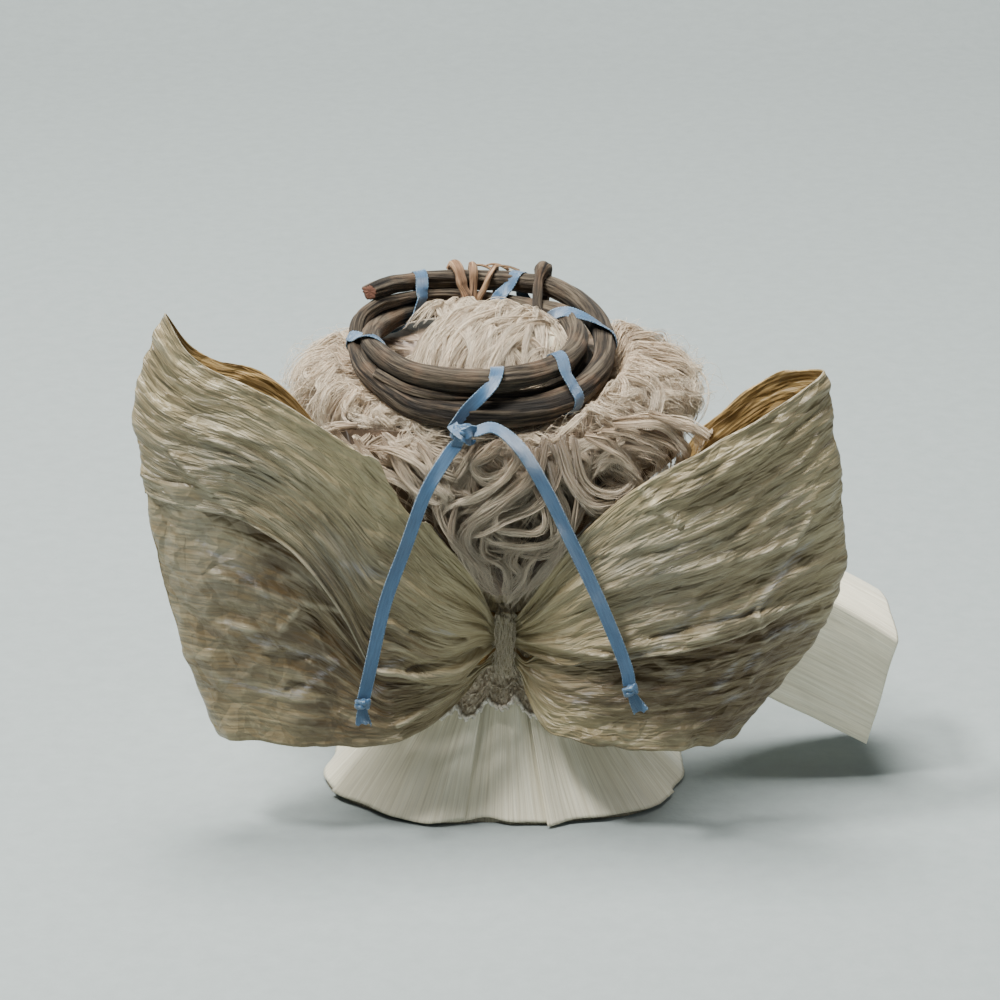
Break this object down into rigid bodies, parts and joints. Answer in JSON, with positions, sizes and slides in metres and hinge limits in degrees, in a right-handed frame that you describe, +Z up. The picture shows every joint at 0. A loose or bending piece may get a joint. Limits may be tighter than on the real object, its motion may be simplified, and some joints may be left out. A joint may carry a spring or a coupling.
{
  "type": "corn husk doll",
  "caption": "Corn husk angel doll that stands on its skirt, with husk wings, wide sleeves on wired arms, curly hair, a grapevine wreath and a blue ribbon.",
  "frame": {"origin": "on the table under the skirt's middle", "axes": "+Z up, +Y the way the doll faces, +X to the doll's right"},
  "size_m": [0.1564, 0.0955, 0.1126],
  "materials": {
    "cream_husk": "dry, matt, ribbed",
    "pale_husk": "dry, matt, ribbed",
    "wing_husk": "dyed, ribbed and creased",
    "ecru_lace": "crocheted cotton",
    "thread": "twisted cotton",
    "head_cotton": "pressed cotton",
    "arm_wire": "drawn",
    "mohair": "curly fibre",
    "grapevine": "bark",
    "dry_tendril": "dry bark",
    "blue_satin": "satin weave",
    "glue": "set glue"
  },
  "bodies": {
    "base": {"skirt_core": "pale_husk", "skirt_husk_1": "cream_husk", "skirt_husk_2": "cream_husk", "skirt_husk_3": "cream_husk", "skirt_husk_4": "cream_husk", "skirt_husk_5": "cream_husk", "skirt_husk_6": "cream_husk", "skirt_husk_7": "cream_husk", "skirt_husk_8": "cream_husk", "lace_trim": "ecru_lace", "waist_tie": "thread", "waist_band": "cream_husk", "torso": "pale_husk", "left_strap": "cream_husk", "right_strap": "cream_husk", "wing_glue_dab": "glue", "wing_band": "wing_husk", "left_wing_upper": "wing_husk", "left_wing_lower": "wing_husk", "right_wing_upper": "wing_husk", "right_wing_lower": "wing_husk"},
    "head": {"head_core": "head_cotton", "head_husk": "cream_husk", "neck_tie": "thread", "hair_cap": "mohair", "hair_back": "mohair", "wreath_vine": "grapevine", "tendril_1": "dry_tendril", "tendril_2": "dry_tendril", "tendril_3": "dry_tendril", "wreath_twig": "dry_tendril", "ribbon_winding": "blue_satin", "ribbon_knot": "blue_satin", "left_ribbon_tail": "blue_satin", "right_ribbon_tail": "blue_satin", "left_tail_knot": "blue_satin", "right_tail_knot": "blue_satin"},
    "right_arm": {"right_arm": "pale_husk", "right_arm_wire": "arm_wire", "right_wrist_tie": "thread", "right_sleeve": "cream_husk", "right_sleeve_tie": "thread"},
    "left_arm": {"left_arm": "pale_husk", "left_arm_wire": "arm_wire", "left_wrist_tie": "thread", "left_sleeve": "cream_husk", "left_sleeve_tie": "thread"}
  },
  "joints": [
    {"name": "head_nod", "type": "hinge", "parent": "base", "child": "head", "pos_m": [0, 0, 0.0744], "axis": [-1, 0, 0], "range_deg": [0, 10]},
    {"name": "right_shoulder", "type": "hinge", "parent": "base", "child": "right_arm", "pos_m": [0.01587, 0, 0.063], "axis": [0, 0, 1], "range_deg": [-5, 45]},
    {"name": "left_shoulder", "type": "hinge", "parent": "base", "child": "left_arm", "pos_m": [-0.01587, 0, 0.063], "axis": [0, 0, -1], "range_deg": [-45, 5]}
  ]
}
